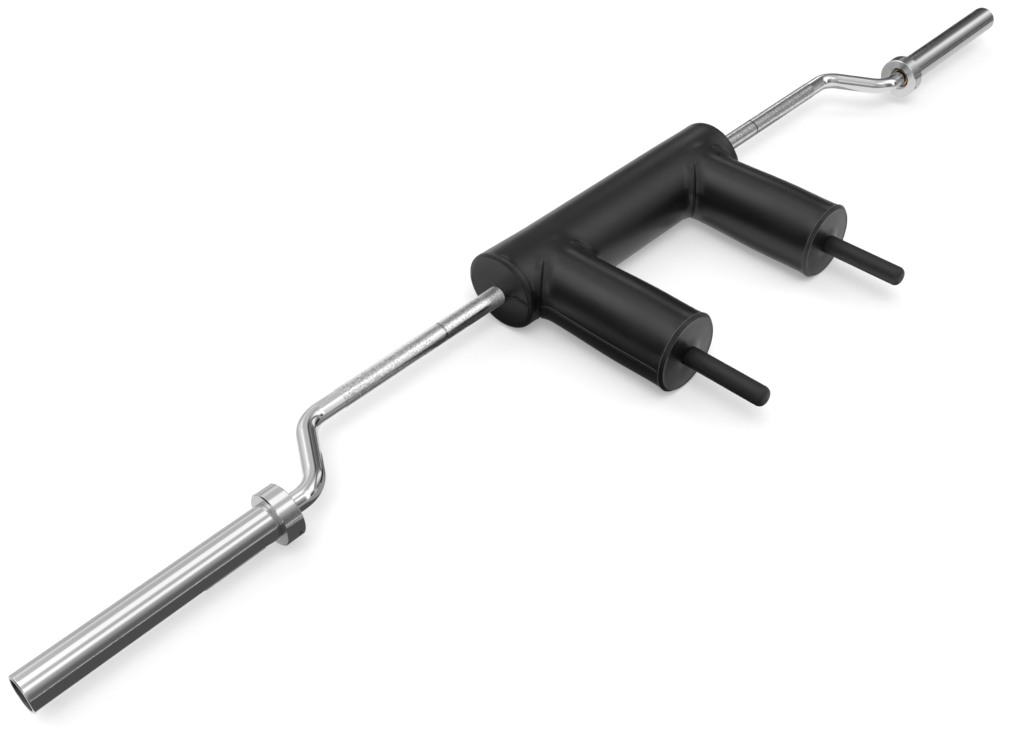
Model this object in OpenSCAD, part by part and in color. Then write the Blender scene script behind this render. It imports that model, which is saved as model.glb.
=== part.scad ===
// Safety squat bar, lying on its pads.
// X runs along the bar, -Y is the way the horns point, Z is up and z = 0 is the floor.
// The origin is on the floor under the middle of the bar's bounding box.
// Left and right are those of the lifter, who stands under the yoke and faces along the horns.

/* [Bar] */
// Distance between the inner faces of the two collars
collar_span = 1488; // [1470:2:1560]
// Diameter of the straight run, which the knurling covers
shaft_d = 30; // [28:0.5:32]
// Diameter of the plain bar in the bends
bend_d = 29; // [27:0.5:30]
// Plain length between the knurling and the first bend
plain_run = 35; // [20:1:50]
// Distance of the ring mark in the knurling from the middle of the bar
ring_mark_x = 388; // [340:1:420]
// Width of the ring mark
ring_mark_w = 4; // [2:0.5:8]
// Depth of the ring mark
ring_mark_depth = 0.6; // [0.3:0.1:1]

/* [Camber] */
// Distance of the sleeve axis in front of the shaft axis
camber_forward = 99; // [80:1:115]
// Distance of the sleeve axis below the shaft axis
camber_drop = 5; // [0:1:15]
// Radius of each bend, to the middle of the bar
bend_r = 46; // [44:1:50]
// Angle of each bend
bend_angle = 58.5; // [50:0.5:65]
// Straight length between the second bend and the collar's inner face
bend_to_collar = 20.7; // [16:0.1:30]

/* [Sleeve] */
// Diameter of the plate seat
sleeve_d = 50; // [49:0.1:50.5]
// Length of the plate seat, from the collar to the sleeve's end
seat_len = 329; // [280:1:420]
// Depth to which the sleeve is turned down inside the collar, which leaves a shoulder
seat_step = 1; // [0.5:0.1:2]
// Bore of the sleeve, which holds the bushes
sleeve_bore = 34; // [33:0.5:37]
// Diameter of the recess in the sleeve's outer end
recess_d = 42; // [40:0.5:44]
// Depth of the recess in the sleeve's outer end
recess_depth = 25; // [22:0.5:32]
// Chamfer at the sleeve's outer end
sleeve_chamfer = 1.5; // [0.5:0.1:2.5]

/* [Collar] */
// Outer diameter of the collar
collar_d = 75; // [66:1:90]
// Width of the collar along the bar
collar_w = 27; // [22:1:40]
// Thickness of the lip that closes the collar's inner end
lip_t = 5; // [4:0.5:7]
// Hole in the lip, which the bent bar passes through
lip_bore = 36; // [35:0.5:40]
// Width of the chamfer round that hole
lip_chamfer = 4; // [1:0.5:4]
// Chamfer on the collar's two outer edges
collar_chamfer = 1.2; // [0.5:0.1:2]
// Diameter of the pin that locks the collar on the sleeve
pin_d = 5; // [3:0.5:5]
// Bore of that rolled pin
pin_bore = 2.4; // [1:0.1:2.6]
// Direction of the pin round the sleeve, from straight back over the top
pin_angle = -166; // [-180:1:180]

/* [Spindle] */
// Diameter of the turned spindle that the bushes run on
spindle_d = 25; // [22:0.5:25]
// Distance of the spindle's shoulder inside the sleeve's inner end
shoulder_in = 3; // [2:0.5:6]
// Running clearance between spindle and bush, on the radius
running_gap = 0.05; // [0.02:0.01:0.1]
// Length of each bronze bush
bush_len = 40; // [25:1:50]
// Thickness of the bronze thrust washer
thrust_t = 2; // [1.5:0.1:3]
// Thickness of the retaining washer
retainer_t = 2.5; // [1.5:0.1:3]
// Gap between the retaining washer and the recess that it lies in
retainer_gap = 1.5; // [0.5:0.1:1.5]
// Thickness of the snap ring
snap_t = 1.75; // [1.2:0.05:2]
// Radial height of the snap ring
snap_h = 3.2; // [2.6:0.1:4]
// Depth of the snap ring's groove
groove_depth = 0.9; // [0.6:0.1:1.2]
// Thickness of the end cap
cap_t = 4; // [3:0.5:6]
// Distance of the end cap inside the sleeve's end
cap_inset = 6; // [3:0.5:8]
// Axial play between parts that turn against each other
axial_play = 0.15; // [0.1:0.05:0.3]

/* [Yoke pad] */
// Half the length of the yoke pad, to the fullest part of its ends
yoke_half = 263; // [255:1:290]
// Radius of the yoke pad
yoke_r = 64.5; // [64:0.5:70]
// Distance that the yoke pad's middle lies in front of the shaft axis
yoke_forward = 2.5; // [0:0.5:6]
// Depth by which each end is drawn in round the bar
end_dish = 2; // [0.5:0.5:4]
// Depth by which the end seam is drawn in
yoke_seam_in = 2.5; // [1:0.5:4]
// Width of the stretch where the pad's side is drawn in towards the seam
end_shoulder = 16; // [10:1:24]
// Radius of the corner between the seam and the end face
end_corner = 11; // [8:1:14]

/* [Horn pads] */
// Distance of each horn's axis inside the fullest part of the yoke pad's end
horn_inset = 81; // [78:1:95]
// Distance of the horn's front face from the shaft axis
horn_reach = 291; // [240:1:330]
// Radius of the horn at its root
horn_root_r = 59.6; // [57:0.1:60.5]
// Radius of the horn where its crown is fullest
horn_crown_r = 62; // [60:0.1:62.5]
// Radius of the neck that the end seam draws in
horn_neck_r = 61; // [59:0.1:61.5]
// Radius of the sewn rim at the front face
horn_rim_r = 63; // [62:0.1:64]
// Width of the sewn rim
rim_w = 8; // [6.5:0.5:12]
// Radius of the rim's corner
rim_corner = 4; // [2:0.5:4.5]
// Height of the front face's dome
face_dome = 1; // [0.5:0.5:3]

/* [Cover and foam] */
// Thickness of the vinyl cover
cover_t = 1.6; // [1:0.1:2]
// Gap between a soft piece and its neighbours
soft_gap = 0.3; // [0.2:0.05:0.4]
// Depth of the flat where the pads rest on the floor
pad_flat = 0.5; // [0.3:0.1:1]
// Width of the groove along a closing seam
seam_w = 1; // [0.6:0.1:2]
// Depth of that groove
seam_depth = 0.6; // [0.3:0.1:0.8]
// Height of each horn's closing seam above the horn's axis
side_seam_up = 3; // [0:0.5:8]

/* [Arms and grips] */
// Diameter of the steel arm inside each horn
arm_d = 25; // [22:0.5:26]
// Leg of the weld bead on the shaft, outward from the arm's side
weld_leg = 6; // [4:0.5:7]
// Leg of the weld bead along the arm
weld_len = 9; // [6:0.5:12]
// Outer diameter of the stop washer behind the horn's front face
stop_d = 80; // [60:1:100]
// Thickness of the stop washer
stop_t = 3; // [2:0.5:4]
// Thickness of the rubber grip's wall
grip_wall = 2.4; // [2:0.1:5]
// Distance of the grip's tip from the shaft axis
grip_reach = 432; // [400:1:480]
// Height of the lip at the grip's root
grip_lip = 2.5; // [1.5:0.5:5]
// Width of that lip
grip_lip_w = 5; // [3:0.5:8]
// Thickness of the rubber over the arm's end
grip_tip_t = 8; // [5:0.5:12]
// Gap between pieces that are pushed or welded together
fit_gap = 0.1; // [0.05:0.01:0.15]

/* [Hidden] */
$fn = 96;
eps = 0.01;
far = 200;

shaft_r = shaft_d / 2;
bend_bar_r = bend_d / 2;
spindle_r = spindle_d / 2;
sleeve_r = sleeve_d / 2;
bore_r = sleeve_bore / 2;
seat_r = sleeve_r - seat_step;
recess_r = recess_d / 2;
collar_r = collar_d / 2;
arm_r = arm_d / 2;
grip_bore_r = arm_r + fit_gap;
grip_r = grip_bore_r + grip_wall;

// Distance of each horn's axis from the middle of the bar
horn_x = yoke_half - horn_inset;

// The yoke and both horn rims reach the same floor, whatever their radii
shaft_h = horn_rim_r - pad_flat;
yoke_up = yoke_r - horn_rim_r;
// The middle of the bounding box lies between the yoke's back and the grips' tips
yoke_back = yoke_r - yoke_forward;
shaft_y = (grip_reach - yoke_back) / 2;

// The double bend: two equal bends joined by a straight, in the plane of shaft and sleeve
camber = sqrt(pow(camber_forward, 2) + pow(camber_drop, 2));
camber_tilt = atan(camber_drop / camber_forward);
bend_rise = bend_r * (1 - cos(bend_angle));
bend_link = (camber - 2 * bend_rise) / sin(bend_angle);
bend_run = 2 * bend_r * sin(bend_angle) + bend_link * cos(bend_angle);
collar_x = collar_span / 2;
bend_start = collar_x - bend_to_collar - bend_run;
bend_end = bend_start + bend_run;
knurl_end = bend_start - plain_run;

// Places along the sleeve, as distances from the middle of the bar
sleeve_in = collar_x + lip_t;
seat_in = collar_x + collar_w;
sleeve_out = seat_in + seat_len;
recess_x = sleeve_out - recess_depth;
shoulder_x = sleeve_in + shoulder_in;
thrust_x = shoulder_x + axial_play;
inner_bush_x = thrust_x + thrust_t + axial_play;
outer_bush_x = recess_x - bush_len;
retainer_x = recess_x + axial_play;
snap_x = retainer_x + retainer_t + axial_play;
cap_x = sleeve_out - cap_inset - cap_t;
spindle_end = cap_x - 3;
pin_x = sleeve_in + 4;
sleeve_y = shaft_y - camber_forward;
sleeve_z = shaft_h - camber_drop;
spindle_chamfer = 1;
spindle_root = 5;
weld_root = 4;
// The straight runs between the bends are a hair thinner than the bends, and run into them a little
run_lap = 1;
run_step = 0.05;
groove_r = spindle_r - groove_depth;
spindle_bore_r = spindle_r + running_gap;

// Heights along a horn, as distances in front of the shaft axis
rim_back = horn_reach - rim_w;
rim_rise = 1.5;
neck_at = rim_back - 3;
stop_at = horn_reach - cover_t - soft_gap - stop_t;
foam_front = stop_at - soft_gap;
grip_back = horn_reach + face_dome + soft_gap;
arm_front = grip_reach - grip_tip_t;
// The horn stays a plain cylinder where it meets the yoke, and is fullest before its neck
root_end = yoke_r + 12;
crown_at = neck_at - 55;

// Frames

// Turns +Z into the way along the bar, at a distance x from its middle, on the shaft axis
module on_shaft(x) {
  translate([x, shaft_y, shaft_h]) rotate([0, 90, 0]) children();
}

// The same on the sleeve axis
module on_sleeve(x) {
  translate([x, sleeve_y, sleeve_z]) rotate([0, 90, 0]) children();
}

// Turns +Z into the way a horn points, from the shaft axis, on the left horn
module on_horn() {
  translate([horn_x, shaft_y, shaft_h]) rotate([90, 0, 0]) children();
}

// Turns +Z into the way along the yoke pad, from the middle of the bar
module on_yoke() {
  translate([0, shaft_y - yoke_forward, shaft_h + yoke_up]) rotate([0, 90, 0]) children();
}

module right_side() {
  mirror([1, 0, 0]) children();
}

// Takes away what lies under the floor, which leaves the pads' flats
module above_floor() {
  difference() {
    children();
    translate([-sleeve_out, -sleeve_out, -far]) cube([2 * sleeve_out, 2 * sleeve_out, far]);
  }
}

// A ring whose axis is Z, from z = 0 up
module ring(outer, inner, height) {
  difference() {
    cylinder(r = outer, h = height);
    translate([0, 0, -eps]) cylinder(r = inner, h = height + 2 * eps);
  }
}

// Shaft

// A length of bar along X, which runs a little into the piece at either end of it
module bar_run(length) {
  translate([-run_lap, 0, 0]) rotate([0, 90, 0])
    cylinder(r = bend_bar_r - run_step, h = length + 2 * run_lap);
}

module bend() {
  rotate_extrude(angle = bend_angle) translate([bend_r, 0]) circle(r = bend_bar_r);
}

// One end, drawn flat: x along the bar, y from the shaft axis to the sleeve axis
module bent_end() {
  $fn = 48;
  translate([knurl_end, 0, 0]) bar_run(bend_start - knurl_end);
  translate([bend_start, bend_r, 0]) rotate([0, 0, -90]) bend();
  translate([bend_start + bend_r * sin(bend_angle), bend_rise, 0])
    rotate([0, 0, bend_angle]) bar_run(bend_link);
  translate([bend_end, camber - bend_r, 0]) rotate([0, 0, 90]) bend();
  translate([bend_end, camber, 0]) bar_run(shoulder_x - bend_end - run_lap);
  translate([shoulder_x, camber, 0]) rotate([0, 90, 0]) spindle();
}

// The turned spindle, from just inside its shoulder out, with the snap ring's groove
module spindle() {
  groove = snap_x - axial_play / 2 - shoulder_x;
  groove_w = snap_t + axial_play;
  length = spindle_end - shoulder_x;
  rotate_extrude() polygon([
    [0, -spindle_root], [spindle_r, -spindle_root], [spindle_r, groove], [groove_r, groove],
    [groove_r, groove + groove_w], [spindle_r, groove + groove_w],
    [spindle_r, length - spindle_chamfer], [spindle_r - spindle_chamfer, length], [0, length]
  ]);
}

module shaft_end() {
  translate([0, shaft_y, shaft_h]) rotate([180 + camber_tilt, 0, 0]) bent_end();
}

// The straight run, with its two ring marks
module straight_run() {
  mark_in = ring_mark_x - ring_mark_w / 2;
  mark_out = ring_mark_x + ring_mark_w / 2;
  mark_r = shaft_r - ring_mark_depth;
  half = [
    [shaft_r, mark_in], [mark_r, mark_in], [mark_r, mark_out], [shaft_r, mark_out],
    [shaft_r, knurl_end], [0, knurl_end]
  ];
  other = [for (i = [len(half) - 1:-1:0]) [half[i][0], -half[i][1]]];
  rotate_extrude() polygon(concat(other, half));
}

module shaft() {
  color("lightgray") {
    on_shaft(0) straight_run();
    shaft_end();
    right_side() shaft_end();
  }
}

// Arms, welded to the shaft

module arm() {
  weld_r = arm_r + weld_leg;
  color("dimgray") difference() {
    on_horn() union() {
      cylinder(r = arm_r, h = arm_front);
      translate([0, 0, shaft_r - weld_root]) cylinder(r = weld_r, h = weld_root);
      translate([0, 0, shaft_r]) cylinder(r1 = weld_r, r2 = arm_r, h = weld_len);
    }
    on_shaft(horn_x - far / 2) cylinder(r = shaft_r, h = far);
  }
}

module stop_washer() {
  color("gray") on_horn() translate([0, 0, stop_at]) ring(stop_d / 2, grip_bore_r, stop_t);
}

// Yoke pad

// A smooth step from a to b as t goes from 0 to 1
function ease(a, b, t) = a + (b - a) * (1 - cos(180 * t)) / 2;

// A quarter round, as points from its side to its front: corner, radius across and radius along
function quarter(side, front, across, along) = [
  for (a = [0:22.5:90]) [side - across * (1 - cos(a)), front - along * (1 - sin(a))]
];

// Half of the yoke pad's outline, set in by a wall: radius and distance from the middle.
// The side is drawn in to the seam, turns the corner, and the end face is dished round the bar.
function yoke_outline(inset) = let(
    side = yoke_r - inset,
    seam_r = side - yoke_seam_in,
    seam_at = yoke_half - end_corner,
    front = yoke_half - inset,
    face_r = seam_r - end_corner,
    hole_r = shaft_r + soft_gap
  ) concat(
    [for (t = [0:0.25:0.75]) [ease(side, seam_r, t), seam_at - end_shoulder * (1 - t)]],
    quarter(seam_r, front, end_corner, front - seam_at),
    [for (t = [0.5:0.5:1]) [face_r + (hole_r - face_r) * t, front - end_dish * t * t]]
  );

module yoke_solid(inset) {
  half = yoke_outline(inset);
  end = half[len(half) - 1];
  other = [for (i = [len(half) - 1:-1:0]) [half[i][0], -half[i][1]]];
  on_yoke() rotate_extrude() polygon(concat([[0, -end[1]]], other, half, [[0, end[1]]]));
}

// The room that the bar takes up in the yoke pad
module bar_hole() {
  on_shaft(-yoke_half - far / 2) cylinder(r = shaft_r + soft_gap, h = 2 * yoke_half + far);
}

// The room that an arm and its weld bead take up
module arm_hole() {
  bead_r = arm_r + weld_leg + soft_gap;
  on_horn() union() {
    cylinder(r = arm_r + soft_gap, h = arm_front + far);
    translate([0, 0, shaft_r - weld_root]) cylinder(r = bead_r, h = weld_root + weld_len + soft_gap);
  }
}

// The slit in the cover's end face, level with the bar, by which the cover is laced on
module end_slit() {
  translate([yoke_half - end_corner, 0, shaft_h - seam_w / 2]) cube([far, 2 * far, seam_w]);
}

module yoke_cover() {
  hole_r = horn_root_r - cover_t;
  color([0.08, 0.08, 0.08]) above_floor() difference() {
    yoke_solid(0);
    yoke_solid(cover_t);
    bar_hole();
    on_horn() cylinder(r = hole_r, h = far);
    right_side() on_horn() cylinder(r = hole_r, h = far);
    difference() {
      union() {
        end_slit();
        right_side() end_slit();
      }
      yoke_solid(seam_depth);
    }
  }
}

module yoke_foam() {
  color("khaki") difference() {
    yoke_solid(cover_t + soft_gap);
    bar_hole();
    arm_hole();
    right_side() arm_hole();
  }
}

// Horn pads

// A horn's side, set in by a wall: radius and distance in front of the shaft axis.
// It swells from a straight root to its crown and is drawn in to the neck.
function horn_side(inset) = concat(
  [[0, 0], [horn_root_r - inset, 0]],
  [for (t = [0:0.25:0.75])
    [ease(horn_root_r, horn_crown_r, t) - inset, root_end + (crown_at - root_end) * t]],
  [for (t = [0:0.25:1])
    [ease(horn_crown_r, horn_neck_r, t) - inset, crown_at + (neck_at - crown_at) * t]]
);

// The sewn rim and the domed front face that close the cover
function horn_front(inset, front) = let(
    side = horn_rim_r - inset,
    face_r = side - rim_corner
  ) concat(
    [[horn_neck_r - inset, rim_back], [side, rim_back + rim_rise]],
    quarter(side, front, rim_corner, rim_corner),
    [for (t = [0.5:0.5:1]) [face_r * (1 - t), front + face_dome * (1 - pow(1 - t, 2))]]
  );

module horn_solid(inset) {
  on_horn() rotate_extrude()
    polygon(concat(horn_side(inset), horn_front(inset, horn_reach - inset)));
}

// The cylinder of the yoke pad's side, made larger or smaller by a gap
module yoke_side(grow) {
  on_yoke() translate([0, 0, -yoke_half]) cylinder(r = yoke_r + grow, h = 2 * yoke_half);
}

// The seam that closes a horn's cover, along its outer side
module side_seam() {
  translate([horn_x, shaft_y - neck_at, shaft_h + side_seam_up - seam_w / 2])
    cube([far, neck_at, seam_w]);
}

module horn_cover() {
  color([0.08, 0.08, 0.08]) above_floor() difference() {
    horn_solid(0);
    horn_solid(cover_t);
    yoke_side(soft_gap);
    on_horn() cylinder(r = arm_r + soft_gap, h = arm_front + far);
    difference() {
      side_seam();
      horn_solid(seam_depth);
    }
  }
}

module horn_foam() {
  inset = cover_t + soft_gap;
  outline = concat(horn_side(inset), [[horn_neck_r - inset, foam_front], [0, foam_front]]);
  color("khaki") difference() {
    on_horn() rotate_extrude() polygon(outline);
    yoke_side(-cover_t);
    arm_hole();
  }
}

// Grip

module grip() {
  lip_r = grip_r + grip_lip;
  length = grip_reach - grip_back;
  color([0.05, 0.05, 0.05]) on_horn() translate([0, 0, grip_back]) difference() {
    rotate_extrude() polygon(concat(
      [[0, 0], [lip_r - 1, 0], [lip_r, 1], [lip_r, grip_lip_w - 2], [grip_r, grip_lip_w + 2]],
      quarter(grip_r, length, grip_r, grip_r)
    ));
    translate([0, 0, -eps]) cylinder(r = grip_bore_r, h = arm_front + fit_gap - grip_back + eps);
  }
}

// Parts on the spindle

module thrust_washer() {
  color("peru") on_sleeve(thrust_x) ring(bore_r - soft_gap, spindle_bore_r, thrust_t);
}

module retaining_washer() {
  color("silver") on_sleeve(retainer_x) ring(recess_r - retainer_gap, spindle_bore_r, retainer_t);
}

// An open ring with two ears, each with a hole for the pliers
module snap_ring() {
  ear_r = 2.6;
  ear_at = groove_r + snap_h;
  ear_angle = 15;
  color("dimgray") on_sleeve(snap_x) difference() {
    union() {
      cylinder(r = groove_r + snap_h, h = snap_t);
      for (side = [-1, 1]) rotate(side * ear_angle) translate([ear_at, 0, 0])
        cylinder(r = ear_r, h = snap_t);
    }
    translate([0, 0, -eps]) cylinder(r = groove_r + fit_gap, h = snap_t + 2 * eps);
    translate([0, -1.5, -eps]) cube([far, 3, snap_t + 2 * eps]);
    for (side = [-1, 1]) rotate(side * ear_angle) translate([ear_at, 0, -eps])
      cylinder(r = 1, h = snap_t + 2 * eps);
  }
}

// Sleeve and what turns with it

// Turns +Z into the pin's way out, from the sleeve axis
module on_pin() {
  translate([pin_x, sleeve_y, sleeve_z]) rotate([pin_angle - 90, 0, 0]) children();
}

module sleeve() {
  inner_chamfer = 0.8;
  color("silver") difference() {
    on_sleeve(0) rotate_extrude() polygon([
      [bore_r, sleeve_in], [seat_r, sleeve_in], [seat_r, seat_in], [sleeve_r, seat_in],
      [sleeve_r, sleeve_out - sleeve_chamfer], [sleeve_r - sleeve_chamfer, sleeve_out],
      [recess_r + inner_chamfer, sleeve_out], [recess_r, sleeve_out - inner_chamfer],
      [recess_r, recess_x], [bore_r, recess_x]
    ]);
    on_pin() cylinder(r = pin_d / 2, h = far);
  }
}

module collar() {
  lip_r = lip_bore / 2;
  color("silver") difference() {
    on_sleeve(0) rotate_extrude() polygon([
      [lip_r + lip_chamfer, collar_x], [collar_r - collar_chamfer, collar_x],
      [collar_r, collar_x + collar_chamfer], [collar_r, seat_in - collar_chamfer],
      [collar_r - collar_chamfer, seat_in], [seat_r, seat_in],
      [seat_r, sleeve_in], [lip_r, sleeve_in], [lip_r, collar_x + lip_chamfer]
    ]);
    on_pin() cylinder(r = pin_d / 2, h = far);
  }
}

// A rolled pin through the collar into the sleeve's wall, sunk below the collar's surface
module collar_pin() {
  pin_in = bore_r + 1;
  pin_out = collar_r - 1.5;
  color("dimgray") on_pin() translate([0, 0, pin_in])
    ring(pin_d / 2, pin_bore / 2, pin_out - pin_in);
}

module bush(x) {
  color("peru") on_sleeve(x) ring(bore_r, spindle_bore_r, bush_len);
}

// A turned disc with a shallow dish in its outer face
module end_cap() {
  dish_r = recess_r - 4;
  dish_depth = 1.2;
  color("gray") on_sleeve(cap_x) rotate_extrude() polygon([
    [0, 0], [recess_r, 0], [recess_r, cap_t - 0.5], [recess_r - 0.5, cap_t], [dish_r, cap_t],
    [dish_r - 1, cap_t - dish_depth], [0, cap_t - dish_depth]
  ]);
}

shaft();
arm();  // left_arm
right_side() arm();  // right_arm
yoke_foam();
horn_foam();  // left_horn_foam
right_side() horn_foam();  // right_horn_foam
yoke_cover();
horn_cover();  // left_horn_cover
right_side() horn_cover();  // right_horn_cover
stop_washer();  // left_stop_washer
right_side() stop_washer();  // right_stop_washer
grip();  // left_grip
right_side() grip();  // right_grip
thrust_washer();  // left_thrust_washer
right_side() thrust_washer();  // right_thrust_washer
retaining_washer();  // left_retaining_washer
right_side() retaining_washer();  // right_retaining_washer
snap_ring();  // left_snap_ring
right_side() snap_ring();  // right_snap_ring
sleeve();  // left_sleeve
right_side() sleeve();  // right_sleeve
collar();  // left_collar
right_side() collar();  // right_collar
collar_pin();  // left_collar_pin
right_side() collar_pin();  // right_collar_pin
bush(inner_bush_x);  // left_inner_bush
right_side() bush(inner_bush_x);  // right_inner_bush
bush(outer_bush_x);  // left_outer_bush
right_side() bush(outer_bush_x);  // right_outer_bush
end_cap();  // left_end_cap
right_side() end_cap();  // right_end_cap
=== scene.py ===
import math

import bmesh
import bpy
import numpy as np
from mathutils import Matrix, Vector
from mathutils.kdtree import KDTree


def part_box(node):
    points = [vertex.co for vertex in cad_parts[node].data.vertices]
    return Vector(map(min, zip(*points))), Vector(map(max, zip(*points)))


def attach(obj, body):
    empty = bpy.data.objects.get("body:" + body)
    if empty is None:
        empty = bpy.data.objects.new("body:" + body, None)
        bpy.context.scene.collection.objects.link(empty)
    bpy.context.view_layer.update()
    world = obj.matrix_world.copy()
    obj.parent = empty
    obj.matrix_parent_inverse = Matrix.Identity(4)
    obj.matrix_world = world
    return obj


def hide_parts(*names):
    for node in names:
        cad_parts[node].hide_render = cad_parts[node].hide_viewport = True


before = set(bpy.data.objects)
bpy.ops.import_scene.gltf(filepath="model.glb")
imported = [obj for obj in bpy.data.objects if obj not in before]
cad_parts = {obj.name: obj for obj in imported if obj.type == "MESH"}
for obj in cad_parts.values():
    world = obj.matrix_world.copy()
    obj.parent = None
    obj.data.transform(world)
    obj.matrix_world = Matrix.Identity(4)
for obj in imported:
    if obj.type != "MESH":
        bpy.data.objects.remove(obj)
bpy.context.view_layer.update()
MM = 0.001
SIDES = {"left": 1, "right": -1}
ALONG, BACK, UP = (Vector(way) for way in ((1, 0, 0), (0, 1, 0), (0, 0, 1)))

# Places and sizes, read from the frame
yoke_low, yoke_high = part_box("yoke_cover")
horn_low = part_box("left_horn_cover")[0]
shaft_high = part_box("shaft")[1]
grip_low, grip_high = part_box("left_grip")
sleeve_low, sleeve_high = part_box("left_sleeve")

YOKE_HALF = yoke_high.x
YOKE_R = (yoke_high.y - yoke_low.y) / 2
YOKE_Y = (yoke_high.y + yoke_low.y) / 2
YOKE_Z = yoke_high.z - YOKE_R
HORN_X = (grip_low.x + grip_high.x) / 2
HORN_Z = (grip_low.z + grip_high.z) / 2
SHAFT_R = 15 * MM
SHAFT_Y = shaft_high.y - SHAFT_R
SHAFT_Z = shaft_high.z - SHAFT_R
GRIP_R = 15 * MM
HORN_FRONT = SHAFT_Y - horn_low.y
SLEEVE_Y = (sleeve_low.y + sleeve_high.y) / 2
SLEEVE_Z = (sleeve_low.z + sleeve_high.z) / 2
SLEEVE_IN = sleeve_low.x
SLEEVE_OUT = sleeve_high.x
SLEEVE_R = (sleeve_high.y - sleeve_low.y) / 2
COLLAR_IN, COLLAR_OUT = (corner.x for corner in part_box("left_collar"))

# The bar: a knurled straight run, two equal bends and a spindle at each end
BEND_BAR_R = 14.5 * MM
BEND_R = 46 * MM
BEND_ANGLE = math.radians(58.5)
BEND_STEPS = 28
BEND_TO_COLLAR = 20.7 * MM
PLAIN_RUN = 35 * MM
SPINDLE_R = 12.5 * MM
GROOVE_R = 11.6 * MM
SHOULDER_IN = 3 * MM
RING_MARK = 388 * MM
RING_MARK_W = 4 * MM
RING_MARK_DEPTH = 0.9 * MM
CAMBER = math.hypot(SHAFT_Y - SLEEVE_Y, SHAFT_Z - SLEEVE_Z)
BEND_RISE = BEND_R * (1 - math.cos(BEND_ANGLE))
BEND_LINK = (CAMBER - 2 * BEND_RISE) / math.sin(BEND_ANGLE)
BEND_RUN = 2 * BEND_R * math.sin(BEND_ANGLE) + BEND_LINK * math.cos(BEND_ANGLE)
BEND_START = COLLAR_IN - BEND_TO_COLLAR - BEND_RUN
KNURL_END = BEND_START - PLAIN_RUN

# The sleeve's bore, the recess in its outer end and the shoulder inside the collar
SLEEVE_BORE_R = 17 * MM
RECESS_R = 21 * MM
RECESS_DEPTH = 25 * MM
SEAT_STEP = 1 * MM

# The camera, at the photograph's place and angle
CAMERA_PLACE = Vector((-1.26575, -0.83957, 1.21225))
CAMERA_RIGHT = Vector((0.66893, -0.74329, 0.00753))
CAMERA_UP = Vector((0.46400, 0.42546, 0.77698))
CAMERA_BACK = Vector((-0.58072, -0.51625, 0.62948))
PHOTO_WIDTH, PHOTO_HEIGHT = 1013, 741
FOCAL_PIXELS = 1212.23
AXIS_PIXEL = (566.53, 298.21)
SENSOR_WIDTH = 36.0


def make_camera():
    data = bpy.data.cameras.new("camera")
    data.sensor_fit = "HORIZONTAL"
    data.sensor_width = SENSOR_WIDTH
    data.lens = SENSOR_WIDTH * FOCAL_PIXELS / PHOTO_WIDTH
    data.shift_x = (PHOTO_WIDTH / 2 - AXIS_PIXEL[0]) / PHOTO_WIDTH
    data.shift_y = (AXIS_PIXEL[1] - PHOTO_HEIGHT / 2) / PHOTO_WIDTH
    data.clip_start = 0.05
    data.clip_end = 60
    camera = bpy.data.objects.new("camera", data)
    bpy.context.scene.collection.objects.link(camera)
    turn = Matrix((CAMERA_RIGHT, CAMERA_UP, CAMERA_BACK)).transposed().to_4x4()
    camera.matrix_world = Matrix.Translation(CAMERA_PLACE) @ turn
    bpy.context.scene.camera = camera


# Materials

NOISE_LOW, NOISE_HIGH = 0.3, 0.7


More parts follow.
